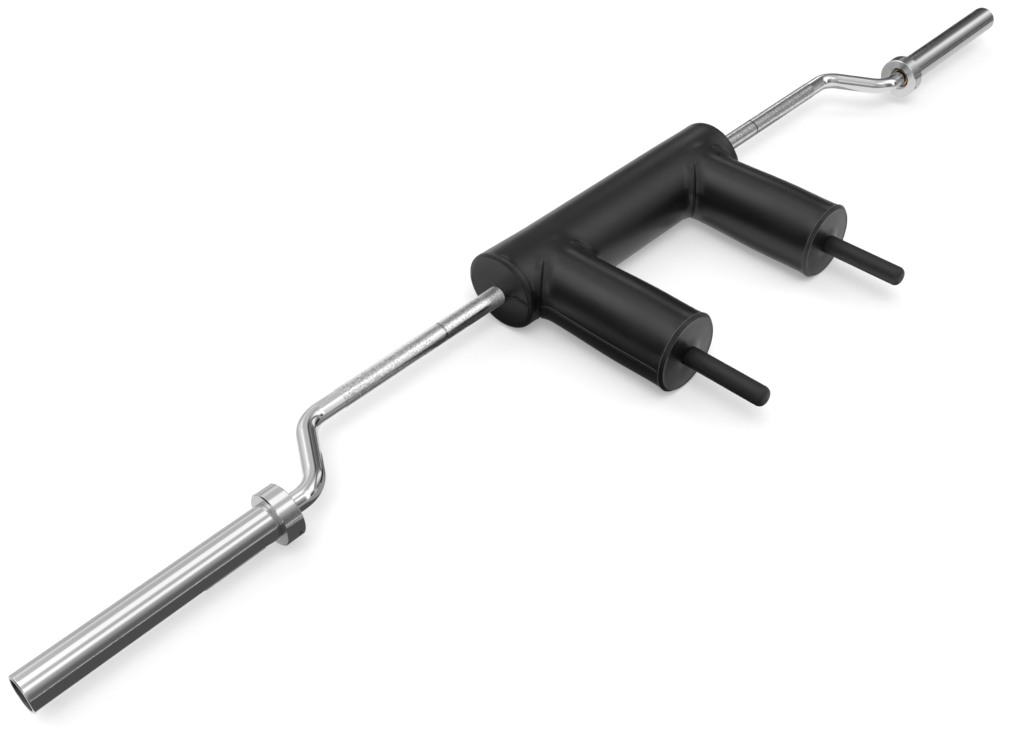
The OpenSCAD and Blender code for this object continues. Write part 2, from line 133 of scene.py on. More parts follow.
class Nodes:
    """A node tree with short calls for what the materials here need."""

    def __init__(self, owner):
        owner.use_nodes = True
        self.owner, self.tree = owner, owner.node_tree
        self.tree.nodes.clear()

    def feed(self, socket, value):
        if isinstance(value, (int, float, tuple)):
            socket.default_value = value
        else:
            self.tree.links.new(value, socket)

    def fill(self, inputs, given):
        """Sets or links inputs, given by name or number."""
        for key, value in given.items():
            self.feed(inputs[key], value)

    def add(self, kind, given=None, **settings):
        node = self.tree.nodes.new(kind)
        for name, value in settings.items():
            setattr(node, name, value)
        self.fill(node.inputs, given or {})
        return node

    def math(self, operation, a, b=0.0):
        return self.add("ShaderNodeMath", {0: a, 1: b}, operation=operation).outputs[0]

    def ramp(self, value, stops):
        """A grey level for a value, straight between stops of (value, level)."""
        node = self.add("ShaderNodeValToRGB", {0: value})
        ramp = node.color_ramp
        while len(ramp.elements) < len(stops):
            ramp.elements.new(0.5)
        for element, (place, level) in zip(ramp.elements, stops):
            element.position = place
            element.color = grey(level)
        return node.outputs[0]

    def noise(self, vector, scale, detail=3.0, roughness=0.5):
        given = {"Vector": vector, "Scale": scale, "Detail": detail, "Roughness": roughness}
        return self.add("ShaderNodeTexNoise", given).outputs["Fac"]

    def place(self):
        return self.add("ShaderNodeTexCoord").outputs["Object"]

    def split(self, vector):
        return self.add("ShaderNodeSeparateXYZ", {0: vector}).outputs

    def bump(self, height, strength, distance, below=None):
        given = {"Height": height, "Strength": strength, "Distance": distance}
        if below is not None:
            given["Normal"] = below
        return self.add("ShaderNodeBump", given).outputs["Normal"]

    def spread(self, noise, low, high):
        """Spreads a noise from low to high between the two values that it seldom leaves."""
        return self.map_range(noise, NOISE_LOW, NOISE_HIGH, low, high)

    def tone(self, noise, low, high):
        """The same as a grey level."""
        return self.ramp(noise, [(NOISE_LOW, low), (NOISE_HIGH, high)])

    def map_range(self, value, *limits):
        """Moves a value from one range to another, given as low, high, new low and new high."""
        given = dict(enumerate((value, *limits)))
        return self.add("ShaderNodeMapRange", given).outputs["Result"]

    def mixed(self, share, low, high):
        """The value low where share is 0 and high where it is 1."""
        return self.add("ShaderNodeMix", {0: share, 2: low, 3: high}, data_type="FLOAT").outputs[0]

    def surface(self, shader, kind="ShaderNodeOutputMaterial"):
        self.add(kind, {"Surface": shader.outputs[0]})

    def mix_shaders(self, share, first, second):
        return self.add("ShaderNodeMixShader", {0: share, 1: first.outputs[0], 2: second.outputs[0]})

    def finish(self, given):
        """Gives the material its shader with these inputs, and returns it."""
        self.surface(self.add("ShaderNodeBsdfPrincipled", given))
        return self.owner


def new_material(name):
    return Nodes(bpy.data.materials.new(name))


def grey(level):
    return (level, level, level, 1)


def turned_marks(nodes, place, fineness):
    """Fine rings left by the lathe, which run round the X axis."""
    squeezed = nodes.add("ShaderNodeCombineXYZ")
    for part, scale, socket in zip(nodes.split(place), (fineness, 6.0, 6.0), squeezed.inputs):
        nodes.feed(socket, nodes.math("MULTIPLY", part, scale))
    return nodes.noise(squeezed.outputs[0], 1.0, 4.0, 0.65)


CHROME_LEVEL, CHROME_ROUGHNESS = 0.60, 0.09
CHROME_MARKS, CHROME_DEPTH = 1700.0, 0.05 * MM
FACED_ROUGHNESS = 0.27
FACED_FROM, FACED_WHOLLY = 0.8, 0.95


def chrome_material():
    """Polished chrome, which is satin on the faces that look along the X axis."""
    nodes = new_material("chrome_sleeve")
    place = nodes.place()
    rings = turned_marks(nodes, place, CHROME_MARKS)
    haze = nodes.noise(place, 35.0, 3.0)
    grain = nodes.noise(place, 800.0, 3.0, 0.7)
    rough = nodes.spread(haze, CHROME_ROUGHNESS * 0.8, CHROME_ROUGHNESS * 1.25)
    faced = nodes.math("ABSOLUTE", nodes.split(nodes.add("ShaderNodeTexCoord").outputs["Normal"])[0])
    end_on = nodes.map_range(faced, FACED_FROM, FACED_WHOLLY, 0.0, 1.0)
    return nodes.finish({
        "Base Color": grey(CHROME_LEVEL),
        "Metallic": 1.0,
        "Roughness": nodes.mixed(end_on, rough, FACED_ROUGHNESS),
        "Normal": nodes.bump(rings, 0.35, CHROME_DEPTH, nodes.bump(grain, 0.5, CHROME_DEPTH)),
    })


# The knurl, with its levels and roughness, each from low to high, and those of the plain bar. The
# knurl's levels are painted shade: darker at the bottom of each cut, lighter on the diamonds.
KNURL_STARTS = 64
KNURL_SLANT = math.radians(30)
KNURL_SHADE_LEVELS, KNURL_WEAR = (0.34, 0.80), (0.72, 1.22)
# The ring mark's level is painted shade in its groove, darker than the plain bar
PLAIN_LEVEL, MARK_SHADE_LEVEL = 0.63, 0.34
PLAIN_ROUGHNESS, KNURL_ROUGHNESS = (0.07, 0.11), (0.13, 0.19)


def shaft_material():
    """Mirror chrome in the bends, and a diamond knurl between the pad and the bends."""
    nodes = new_material("knurled_chrome")
    place = nodes.place()
    x, y, z = nodes.split(place)
    across = nodes.math("ABSOLUTE", x)
    inside = nodes.map_range(across, KNURL_END - 0.4 * MM, KNURL_END + 0.4 * MM, 1.0, 0.0)
    from_mark = nodes.math("ABSOLUTE", nodes.math("SUBTRACT", across, RING_MARK))
    off_mark = nodes.map_range(from_mark, 1.8 * MM, 2.4 * MM, 0.0, 1.0)
    in_mark = nodes.map_range(from_mark, 1.8 * MM, 2.2 * MM, 1.0, 0.0)
    knurled = nodes.math("MULTIPLY", inside, off_mark)
    up, behind = nodes.math("SUBTRACT", z, SHAFT_Z), nodes.math("SUBTRACT", y, SHAFT_Y)
    turn = nodes.math("MULTIPLY", nodes.math("ARCTAN2", up, behind), KNURL_STARTS / (2 * math.pi))
    lead = KNURL_STARTS * math.tan(KNURL_SLANT) / (2 * math.pi * SHAFT_R)
    along = nodes.math("MULTIPLY", x, lead)
    left = nodes.math("PINGPONG", nodes.math("ADD", turn, along), 0.5)
    right = nodes.math("PINGPONG", nodes.math("SUBTRACT", turn, along), 0.5)
    cut = nodes.math("MINIMUM", left, right)
    haze = nodes.noise(place, 60.0, 4.0, 0.6)
    worn = nodes.noise(place, 420.0, 2.0, 0.7)
    grain = nodes.noise(place, 800.0, 3.0, 0.7)
    wear = nodes.map_range(worn, 0.35, 0.65, *KNURL_WEAR)
    # Painted shade: the base colour darkens towards the bottom of each knurl cut, times a random wear
    knurl_painted_shade = nodes.math("MULTIPLY", nodes.map_range(cut, 0.0, 0.35, *KNURL_SHADE_LEVELS), wear)
    smooth = nodes.spread(haze, *PLAIN_ROUGHNESS)
    rough = nodes.spread(haze, *KNURL_ROUGHNESS)
    pitted = nodes.bump(grain, 0.5, 0.04 * MM)
    return nodes.finish({
        "Base Color": nodes.mixed(in_mark, nodes.mixed(knurled, PLAIN_LEVEL, knurl_painted_shade), MARK_SHADE_LEVEL),
        "Metallic": 1.0,
        "Roughness": nodes.mixed(knurled, smooth, rough),
        "Normal": nodes.bump(nodes.math("MULTIPLY", cut, knurled), 0.3, 0.25 * MM, pitted),
    })


def vinyl_material():
    """Black upholstery vinyl: a fine pebbled grain with a soft sheen."""
    nodes = new_material("black_vinyl")
    place = nodes.place()
    cells = nodes.add("ShaderNodeTexVoronoi", {"Vector": place, "Scale": 900.0}, feature="SMOOTH_F1")
    grain = nodes.noise(place, 1500.0, 3.0, 0.6)
    soft = nodes.noise(place, 14.0, 2.0)
    worn = nodes.noise(place, 45.0, 4.0, 0.6)
    height = nodes.math("ADD", nodes.math("MULTIPLY", cells.outputs["Distance"], 0.7), grain)
    return nodes.finish({
        "Base Color": nodes.tone(worn, 0.0018, 0.0032),
        "Roughness": nodes.spread(soft, 0.32, 0.39),
        "IOR": 1.5,
        "Normal": nodes.bump(height, 0.12, 0.10 * MM),
    })


def rubber_material():
    """Black rubber, dull with age and darker where the cover's mouth shades it."""
    nodes = new_material("black_rubber")
    place = nodes.place()
    forward = nodes.math("SUBTRACT", SHAFT_Y, nodes.split(place)[1])
    sheen = nodes.map_range(forward, HORN_FRONT + 3 * MM, HORN_FRONT + 20 * MM, 0.15, 0.5)
    dust = nodes.noise(place, 90.0, 4.0, 0.6)
    fine = nodes.noise(place, 1400.0, 2.0)
    return nodes.finish({
        "Specular IOR Level": sheen,
        "Base Color": nodes.tone(dust, 0.005, 0.008),
        "Roughness": nodes.spread(dust, 0.48, 0.56),
        "Normal": nodes.bump(fine, 0.12, 0.12 * MM),
    })


def sewn_material(name, grain, levels, roughness, depth):
    """Piping or thread: a fine grain, given as the noise's scale, detail and roughness."""
    nodes = new_material(name)
    grain = nodes.noise(nodes.place(), *grain)
    return nodes.finish({
        "Base Color": nodes.tone(grain, *levels),
        "Roughness": roughness,
        "Normal": nodes.bump(grain, depth, 0.1 * MM),
    })


def metal_material(name, colour, roughness):
    """A plated, sprung or bearing metal with faint turning marks."""
    nodes = new_material(name)
    place = nodes.place()
    rings = turned_marks(nodes, place, 1500.0)
    haze = nodes.noise(place, 80.0, 3.0)
    return nodes.finish({
        "Base Color": (*colour, 1),
        "Metallic": 1.0,
        "Roughness": nodes.spread(haze, roughness * 0.85, roughness * 1.15),
        "Normal": nodes.bump(rings, 0.3, 0.06 * MM),
    })


def paint_material():
    nodes = new_material("black_paint")
    peel = nodes.noise(nodes.place(), 500.0, 2.0)
    return nodes.finish({
        "Base Color": grey(0.02),
        "Roughness": nodes.spread(peel, 0.38, 0.46),
        "Normal": nodes.bump(peel, 0.1, 0.1 * MM),
    })


def dress(node, material):
    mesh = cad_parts[node].data
    mesh.materials.clear()
    mesh.materials.append(material)


# The pad cover, as a distance field: one sewn skin over the yoke and both horns

PAD_SHIFT = -4.4 * MM
PAD_FULL = 0.8 * MM
CAP_CORNER = 4 * MM
HORN_CORNER = 4.5 * MM

# The ends of the yoke: how much slimmer they are, how far the near one lies up and back from
# the yoke's axis, how much rounder its lower edge is, and where round it, in degrees, it is fuller
END_SLIM = 0.8 * MM
END_RUN = 110 * MM
NEAR_UP = 2.0 * MM
NEAR_BACK = 1.0 * MM
NEAR_ROUND = 8 * MM
NEAR_FULL, NEAR_FULL_AT, NEAR_FULL_WIDTH = 1.1 * MM, 24, 26

# Each horn: how far the edge and the middle of its front stand out from the plain cover, and its
# radius in mm at distances in front of the shaft axis
FACE_OUT = 2.0 * MM
FACE_DOME = 1.5 * MM
FILLET = 17 * MM
ROOT_IN = 26 * MM
HORN_PROFILE = ((0, 59.6), (76, 59.6), (200, 62.2), (272, 61.4), (296, 62.6), (310, 62.6))
PAD_HORN_Z = HORN_Z + 0.7 * MM
SIDE_SEAM_Z = HORN_Z + 3 * MM
RIM_R = 62.6 * MM
RIM_AT = HORN_FRONT + FACE_OUT

# How far the seam between yoke and horn lies from the line where they meet, to the yoke's side
SEAM_OFF_OUTER = 4 * MM
SEAM_OFF_INNER = -4 * MM

# The swelling: how much of it the skin takes and the most that counts, and the simulation's mesh size
# and length
SWELL_SHARE = 0.5
SWELL_MOST = 3 * MM
SWELL_VOXEL = 6 * MM
SWELL_FRAMES = 20
CLOTH = {
    "quality": 6,
    "mass": 0.3,
    "tension_stiffness": 20,
    "compression_stiffness": 20,
    "shear_stiffness": 8,
    "bending_stiffness": 0.8,
    "use_pressure": True,
    "uniform_pressure_force": 4,
}

# The mesh size of the skin that shows
SKIN_VOXEL = 3.2 * MM

# The slit in the yoke's end cover: distance behind the bar's axis and height above it
SLIT_LINE = ((-62, 9), (-35, 12), (-26, 9), (-14, 1), (14, 12), (24, 11), (54, -2), (62, -4))


def smoothstep(low, high, value):
    t = np.clip((value - low) / (high - low), 0, 1)
    return t * t * (3 - 2 * t)


def bell(distance, width):
    return np.exp(-((distance / width) ** 2))


def capsule_like(across, along, radius, corner):
    """Distance to a round bar with flat ends, whose edges are rounded by corner."""
    q = np.stack([across - radius + corner, along + corner], axis=-1)
    outside = np.linalg.norm(np.maximum(q, 0), axis=-1)
    return outside + np.minimum(q.max(axis=-1), 0) - corner


def at_near_end(p):
    return smoothstep(YOKE_HALF - END_RUN, YOKE_HALF, PAD_SHIFT - p[:, 0])


def off_yoke_axis(p):
    near = at_near_end(p)
    return np.hypot(p[:, 1] - YOKE_Y - near * NEAR_BACK, p[:, 2] - YOKE_Z - near * NEAR_UP)


def off_shaft_axis(p):
    return np.hypot(p[:, 1] - SHAFT_Y, p[:, 2] - SHAFT_Z)


def along_yoke(p):
    return np.abs(p[:, 0] - PAD_SHIFT)


def horn_radius(forward):
    """The horn's radius at a distance in front of the shaft axis, eased between its profile's knots."""
    places, radii = (np.array(column) * MM for column in zip(*HORN_PROFILE))
    slot = np.clip(np.searchsorted(places, forward) - 1, 0, len(places) - 2)
    share = smoothstep(0, 1, (forward - places[slot]) / (places[slot + 1] - places[slot]))
    return radii[slot] + (radii[slot + 1] - radii[slot]) * share


def yoke_distance(p):
    across, along = off_yoke_axis(p), along_yoke(p)
    radius = YOKE_R + PAD_FULL - END_SLIM * smoothstep(YOKE_HALF - END_RUN, YOKE_HALF, along)
    turn = np.degrees(np.arctan2(p[:, 2] - YOKE_Z, p[:, 1] - YOKE_Y))
    radius += NEAR_FULL * at_near_end(p) * bell(turn - NEAR_FULL_AT, NEAR_FULL_WIDTH)
    lowness = smoothstep(-0.1, 1, (YOKE_Z - p[:, 2]) / np.maximum(across, MM))
    corner = CAP_CORNER + NEAR_ROUND * at_near_end(p) * lowness
    return capsule_like(across, along - YOKE_HALF, radius, corner)


def off_horn_axis(p):
    return np.hypot(np.abs(p[:, 0]) - HORN_X, p[:, 2] - PAD_HORN_Z)


def horn_distance(p):
    """Distance to the nearer horn, whose radius follows its profile and whose front is domed."""
    across = off_horn_axis(p)
    forward = SHAFT_Y - p[:, 1]
    radius = horn_radius(forward)
    dome = FACE_DOME * (1 - np.clip(across / RIM_R, 0, 1) ** 2)
    along = np.maximum(forward - RIM_AT - dome, ROOT_IN - forward)
    return capsule_like(across, along, radius, HORN_CORNER)


def pad_distance(p):
    """The filleted union of the yoke and the horns."""
    a, b = yoke_distance(p), horn_distance(p)
    blend = np.maximum(FILLET - np.abs(a - b), 0) / FILLET
    return np.minimum(a, b) - blend * blend * FILLET / 4


def pad_slope(p, step=0.2 * MM):
    columns = []
    for axis in range(3):
        shift = np.zeros(3)
        shift[axis] = step
        columns.append((pad_distance(p + shift) - pad_distance(p - shift)) / (2 * step))
    return np.stack(columns, axis=-1)


def settle(p, rounds):
    """Moves points onto the pad's surface along the slope of its distance."""
    for _ in range(rounds):
        slope = pad_slope(p)
        size = np.maximum((slope**2).sum(axis=1), 0.05)
        p = p - (pad_distance(p) / size)[:, None] * slope
    return p


def read_points(mesh):
    flat = np.empty(len(mesh.vertices) * 3)
    mesh.vertices.foreach_get("co", flat)
    return flat.reshape(-1, 3)


def write_points(mesh, points):
    mesh.vertices.foreach_set("co", points.astype(np.float32).ravel())
    mesh.update()


def read_edges(mesh):
    flat = np.empty(len(mesh.edges) * 2, np.int64)
    mesh.edges.foreach_get("vertices", flat)
    return flat.reshape(-1, 2)


def relax(points, edges, share):
    """Moves each point a share of the way to the middle of its neighbours."""
    total = np.zeros_like(points)
    count = np.zeros(len(points))
    for a, b in ((0, 1), (1, 0)):
        np.add.at(total, edges[:, a], points[edges[:, b]])
        np.add.at(count, edges[:, a], 1)
    return points + share * (total / np.maximum(count, 1)[:, None] - points)


def new_object(name, mesh, material=None):
    piece = bpy.data.objects.new(name, mesh)
    bpy.context.scene.collection.objects.link(piece)
    if material is not None:
        mesh.materials.clear()
        mesh.materials.append(material)
    return piece


def apply_modifiers(piece):
    depsgraph = bpy.context.evaluated_depsgraph_get()
    mesh = bpy.data.meshes.new_from_object(piece.evaluated_get(depsgraph))
    piece.modifiers.clear()
    old = piece.data
    piece.data = mesh
    bpy.data.meshes.remove(old)


def pad_skin(name, voxel):
    """The cover's surface as an even mesh: three crossed round bars, remeshed and settled."""
    form = bmesh.new()
    to_x = Matrix.Rotation(math.pi / 2, 4, "Y")
    to_y = Matrix.Rotation(math.pi / 2, 4, "X")
    bars = [(Vector((PAD_SHIFT, YOKE_Y, YOKE_Z)), to_x, YOKE_R, 2 * YOKE_HALF)]
    reach = HORN_FRONT - ROOT_IN
    for side in (-1, 1):
        middle = Vector((side * HORN_X, SHAFT_Y - ROOT_IN - reach / 2, HORN_Z))
        bars.append((middle, to_y, 61.5 * MM, reach))
    for middle, turn, radius, length in bars:
        bmesh.ops.create_cone(
            form,
            cap_ends=True,
            segments=96,
            radius1=radius,
            radius2=radius,
            depth=length,
            matrix=Matrix.Translation(middle) @ turn,
        )
    mesh = bpy.data.meshes.new(name)
    form.to_mesh(mesh)
    form.free()
    piece = new_object(name, mesh)
    remesh = piece.modifiers.new("remesh", "REMESH")
    remesh.mode = "VOXEL"
    remesh.voxel_size = voxel
    apply_modifiers(piece)
    points = settle(read_points(piece.data), 6)
    edges = read_edges(piece.data)
    for _ in range(3):
        points = settle(relax(points, edges, 0.5), 2)
    write_points(piece.data, points)
    return piece


def seam_terms(p):
    """Distances from the sewn seams, and how strongly each shows there."""
    a, b = yoke_distance(p), horn_distance(p)
    lift = np.clip(np.abs(p[:, 2] - HORN_Z) / (60 * MM), 0, 0.995)
    slant = math.sqrt(2) * np.sqrt(1 - lift**2)
    outer = np.abs(p[:, 0]) > HORN_X
    off = np.where(outer, SEAM_OFF_OUTER, SEAM_OFF_INNER) * (1 - lift**4)
    joint = np.abs(b - a - off) / np.maximum(slant, 0.25)
    joint = np.where(np.maximum(a, b) < 20 * MM, joint, 1.0)
    far_outer = p[:, 0] > HORN_X
    joint_share = 1 - smoothstep(np.where(far_outer, 0.96, 0.90), 0.99, lift)
    return joint, joint_share


def outward(points):
    slope = pad_slope(points)
    return slope / np.linalg.norm(slope, axis=1)[:, None]


def swell():
    """How far the stuffing pushes the skin out between its seams: a cloth simulation under pressure."""
    piece = pad_skin("pad_form", SWELL_VOXEL)
    start = read_points(piece.data)
    joint, joint_share = seam_terms(start)
    rim = rim_distance(start)
    cap_edge = np.hypot(off_yoke_axis(start) - YOKE_R, along_yoke(start) - YOKE_HALF)
    held = np.maximum.reduce(
        [bell(joint, 6 * MM) * joint_share, bell(rim, 5 * MM), bell(cap_edge, 6 * MM)]
    )
    floor = smoothstep(8 * MM, 2 * MM, start[:, 2])
    pins = piece.vertex_groups.new(name="seams")
    for index, weight in enumerate(np.maximum(held, floor)):
        pins.add([index], float(weight), "REPLACE")
    cloth = piece.modifiers.new("cloth", "CLOTH")
    for name, value in CLOTH.items():
        setattr(cloth.settings, name, value)
    cloth.settings.effector_weights.gravity = 0
    cloth.settings.vertex_group_mass = "seams"
    cloth.point_cache.frame_start = 1
    cloth.point_cache.frame_end = SWELL_FRAMES
    scene = bpy.context.scene
    for number in range(1, SWELL_FRAMES + 1):
        scene.frame_set(number)
    apply_modifiers(piece)
    moved = ((read_points(piece.data) - start) * outward(start)).sum(axis=1)
    scene.frame_set(1)
    bpy.data.objects.remove(piece)
    return start, SWELL_SHARE * np.clip(moved, 0, SWELL_MOST)


def carry(points, values, targets, near=20, reach=7 * MM):
    """Values known at points, spread smoothly onto the targets."""
    tree = KDTree(len(points))
    for index, point in enumerate(points):
        tree.insert(point, index)
    tree.balance()
    result = np.empty(len(targets))
    for index, target in enumerate(targets):
        found = tree.find_n(target, near)
        weights = [math.exp(-((distance / reach) ** 2)) + 1e-9 for _, _, distance in found]
        total = sum(w * values[i] for w, (_, i, _) in zip(weights, found))
        result[index] = total / sum(weights)
    return result


def crease_depth(p):
    """How deep the skin is drawn in at each point by its seams, in metres."""
    return joint_crease(p) + cap_crease(p) + side_crease(p) + rim_crease(p)


def joint_crease(p):
    """The seams where the horns are sewn to the yoke. They are drawn in below, and stand up
    between two full lips above."""
    joint, share = seam_terms(p)
    high = smoothstep(0.0, 0.45, (p[:, 2] - HORN_Z) / YOKE_R)
    broad = 1.4 * MM * (1 - high) - 1.8 * MM * high
    width = 8 * MM + 5 * MM * high
    return share * (2.4 * MM * bell(joint, 1.3 * MM) + broad * bell(joint, width))


def off_slit(p):
    """Height above the line of the slit in the yoke's end cover."""
    behind, up = (np.array(column) * MM for column in zip(*SLIT_LINE))
    return p[:, 2] - SHAFT_Z - np.interp(p[:, 1] - SHAFT_Y, behind, up)


def cap_crease(p):
    """The seam round each end of the yoke, and the slit on both sides of the bar."""
    across, out = off_yoke_axis(p), along_yoke(p)
    forward, up = YOKE_Y - p[:, 1], p[:, 2] - YOKE_Z
    turn = np.degrees(np.arctan2(up, forward))
    share = smoothstep(-25, 20, turn) * (0.35 + 0.65 * smoothstep(125, 75, turn))
    edge = YOKE_R - END_SLIM
    ring = np.hypot(across - (edge - 1.8 * MM), out - (YOKE_HALF - 0.4 * MM))
    depth = share * (1.9 * MM * bell(ring, 1.4 * MM) + 0.5 * MM * bell(ring, 6 * MM))
    welt = np.hypot(across - edge - MM, out - (YOKE_HALF - 7 * MM))
    depth -= share * 1.3 * MM * bell(welt, 4.5 * MM)
    on_cap = smoothstep(YOKE_HALF - 3 * MM, YOKE_HALF - 1 * MM, out)
    from_slit = off_slit(p)
    clear = smoothstep(14 * MM, 18 * MM, off_shaft_axis(p))
    clear *= 1 - smoothstep(-9 * MM, -4 * MM, across - YOKE_R)
    clear *= np.where(p[:, 1] > SHAFT_Y, 0.3, 1.0)
    flap = smoothstep(-1 * MM, 0, from_slit) * bell(np.maximum(from_slit, 0), 6 * MM)
    depth += on_cap * clear * (1.4 * MM * flap + 0.9 * MM * bell(from_slit, 1.0 * MM))
    return depth


def side_crease(p):
    """The groove under the piping along each horn's outer side."""
    forward = SHAFT_Y - p[:, 1]
    outboard = smoothstep(40 * MM, 50 * MM, np.abs(p[:, 0]) - HORN_X)
    along = smoothstep(64 * MM, 74 * MM, forward)
    along *= 1 - smoothstep(RIM_AT - 12 * MM, RIM_AT - 6 * MM, forward)
    up = p[:, 2] - SIDE_SEAM_Z
    return outboard * along * 1.4 * MM * bell(up + 1.4 * MM, 2.0 * MM)


def rim_distance(p):
    """Distance to the seam round the edge of a horn's front."""
    across, forward = off_horn_axis(p), SHAFT_Y - p[:, 1]
    return np.hypot(across - RIM_R + 1.5 * MM, forward - RIM_AT + 1.5 * MM)


def rim_crease(p):
    """The seam round each horn's front, between two low ridges, and the mouth round the grip,
    which stands up over the grip and sinks in below it."""
    across, forward = off_horn_axis(p), SHAFT_Y - p[:, 1]
    depth = 1.5 * MM * bell(rim_distance(p), 1.2 * MM)
    for ring_r, ring_at in ((RIM_R, RIM_AT - 5 * MM), (RIM_R - 5 * MM, RIM_AT)):
        depth -= 0.5 * MM * bell(np.hypot(across - ring_r, forward - ring_at), 2 * MM)
    on_front = smoothstep(HORN_FRONT - 4 * MM, HORN_FRONT - MM, forward)
    aside, up = np.abs(p[:, 0]) - HORN_X, p[:, 2] - HORN_Z
    above = (0.94 * up + 0.35 * aside * np.sign(p[:, 0])) / np.maximum(np.hypot(aside, up), MM)
    mouth = (0.6 + 2.6 * above) * MM * bell(np.maximum(across - GRIP_R, 0), 8 * MM)
    return depth - on_front * mouth


def refine(piece, width):
    """Splits the faces that lie within width of the seams."""
    mesh = piece.data
    form = bmesh.new()
    form.from_mesh(mesh)
    points = read_points(mesh)
    close = seam_nearness(points) < width
    form.verts.ensure_lookup_table()
    edges = [e for e in form.edges if close[e.verts[0].index] and close[e.verts[1].index]]
    bmesh.ops.subdivide_edges(form, edges=edges, cuts=1, use_grid_fill=True)
    bmesh.ops.triangulate(form, faces=[f for f in form.faces if len(f.verts) > 4])
    form.to_mesh(mesh)
    form.free()


def seam_nearness(p):
    """Distance to the nearest crease that needs a fine mesh."""
    joint, joint_share = seam_terms(p)
    across, out = off_yoke_axis(p), along_yoke(p)
    forward = SHAFT_Y - p[:, 1]
    joint = np.where(joint_share > 0.02, joint, 1.0)
    ring = np.hypot(across - (YOKE_R - 1.5 * MM), out - (YOKE_HALF - 2 * MM)) - 1.5 * MM
    rim = rim_distance(p) - 2.5 * MM
    seam = np.where(np.abs(p[:, 0]) > HORN_X + 30 * MM, np.abs(p[:, 2] - SIDE_SEAM_Z + MM), 1.0)
    seam = np.where((forward > 55 * MM) & (forward < HORN_FRONT), seam, 1.0)
    on_cap = np.minimum(np.abs(off_slit(p)), np.abs(off_shaft_axis(p) - SHAFT_R))
    on_cap = np.where(out > YOKE_HALF - 2 * MM, on_cap, 1.0)
    return np.minimum.reduce([joint, ring, rim, seam, on_cap])


def make_pad(material):
    piece = pad_skin("pad_cover", SKIN_VOXEL)
    for width in (7 * MM, 4 * MM):
        refine(piece, width)
    points = settle(read_points(piece.data), 4)
    push = np.zeros(len(points))
    known, moved = swell()
    push = carry(known, moved, points)
    push -= crease_depth(points)
    raised = points + outward(points) * push[:, None]
    raised[:, 2] = np.maximum(raised[:, 2], 0.0)
    write_points(piece.data, raised)
    piece.data.materials.append(material)
    piece.data.shade_smooth()
    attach(piece, "bar")
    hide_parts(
        "yoke_cover",
        "yoke_foam",
        "left_horn_cover",
        "left_horn_foam",
        "right_horn_cover",
        "right_horn_foam",
    )
    return piece


# Turned and bent metal


def shade(piece, sharp_from=25):
    """Smooth shading, with the edges sharper than an angle left crisp."""
    form = bmesh.new()
    form.from_mesh(piece.data)
    bmesh.ops.recalc_face_normals(form, faces=form.faces)
    for face in form.faces:
        face.smooth = True
    for edge in form.edges:
        edge.smooth = edge.calc_face_angle(0) < math.radians(sharp_from)
    form.to_mesh(piece.data)
    form.free()


def skin_faces(rings, count, closed, first=0):
    """The faces that join rings of count points, the first of which has the number first. A closed
    run of rings meets itself, and an open one is capped."""
    faces = []
    spans = rings if closed else rings - 1
    for i in range(spans):
        here, there = first + i * count, first + (i + 1) % rings * count
        for j in range(count):
            k = (j + 1) % count
            faces.append((here + j, here + k, there + k, there + j))
    if not closed:
        for start in (first, first + spans * count):
            faces.append(tuple(range(start, start + count)))
    return faces


def mesh_object(name, points, faces, material):
    mesh = bpy.data.meshes.new(name)
    mesh.from_pydata(points, [], faces)
    return new_object(name, mesh, material)


def ring_mesh(name, rings, closed, material):
    points = [point for ring in rings for point in ring]
    piece = mesh_object(name, points, skin_faces(len(rings), len(rings[0]), closed), material)
    shade(piece)
    return piece


def round_ring(middle, side, up, radius, segments):
    turns = [2 * math.pi * k / segments for k in range(segments)]
    return [middle + radius * (math.cos(a) * side + math.sin(a) * up) for a in turns]


def softened(outline, radius, steps=4):
    """The closed outline with each corner rounded, by a curve that starts radius away from it."""
    result = []
    count = len(outline)
    for k in range(count):
        before, corner, after = (Vector(outline[(k + d) % count]) for d in (-1, 0, 1))
        back, on = before - corner, after - corner
        start = corner + back.normalized() * min(radius, back.length * 0.45)
        end = corner + on.normalized() * min(radius, on.length * 0.45)
        for step in range(steps + 1):
            t = step / steps
            result.append(start * (1 - t) ** 2 + corner * 2 * t * (1 - t) + end * t**2)
    return result


def make_sleeve(side, material, bore_material):
    sign = SIDES[side]
    recess = SLEEVE_OUT - RECESS_DEPTH
    chamfer = 1.2 * MM
    outline = [
        (SLEEVE_IN, SLEEVE_BORE_R),
        (SLEEVE_IN, SLEEVE_R - SEAT_STEP),
        (COLLAR_OUT, SLEEVE_R - SEAT_STEP),
        (COLLAR_OUT, SLEEVE_R),
        (COLLAR_OUT + 3 * MM, SLEEVE_R),
        (SLEEVE_OUT - chamfer - 3 * MM, SLEEVE_R),
        (SLEEVE_OUT - chamfer, SLEEVE_R),
        (SLEEVE_OUT, SLEEVE_R - chamfer),
        (SLEEVE_OUT, RECESS_R + 0.8 * MM),
        (SLEEVE_OUT - 0.8 * MM, RECESS_R),
        (recess, RECESS_R),
        (recess, SLEEVE_BORE_R),
    ]
    outline = softened(outline, 0.5 * MM)
    rings = []
    for point in outline:
        middle = Vector((sign * point.x, SLEEVE_Y, SLEEVE_Z))
        rings.append(round_ring(middle, BACK, UP, point.y, 144))
    piece = ring_mesh(f"{side}_turned_sleeve", rings, True, material)
    piece.data.materials.append(bore_material)
    # Faces inside the recess and bore take the darkened steel, which paints their shade
    for face in piece.data.polygons:
        off_axis = face.center - Vector((face.center.x, SLEEVE_Y, SLEEVE_Z))
        if off_axis.length < RECESS_R + 0.3 * MM:
            face.material_index = 1
    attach(piece, f"{side}_sleeve")
    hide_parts(f"{side}_sleeve")


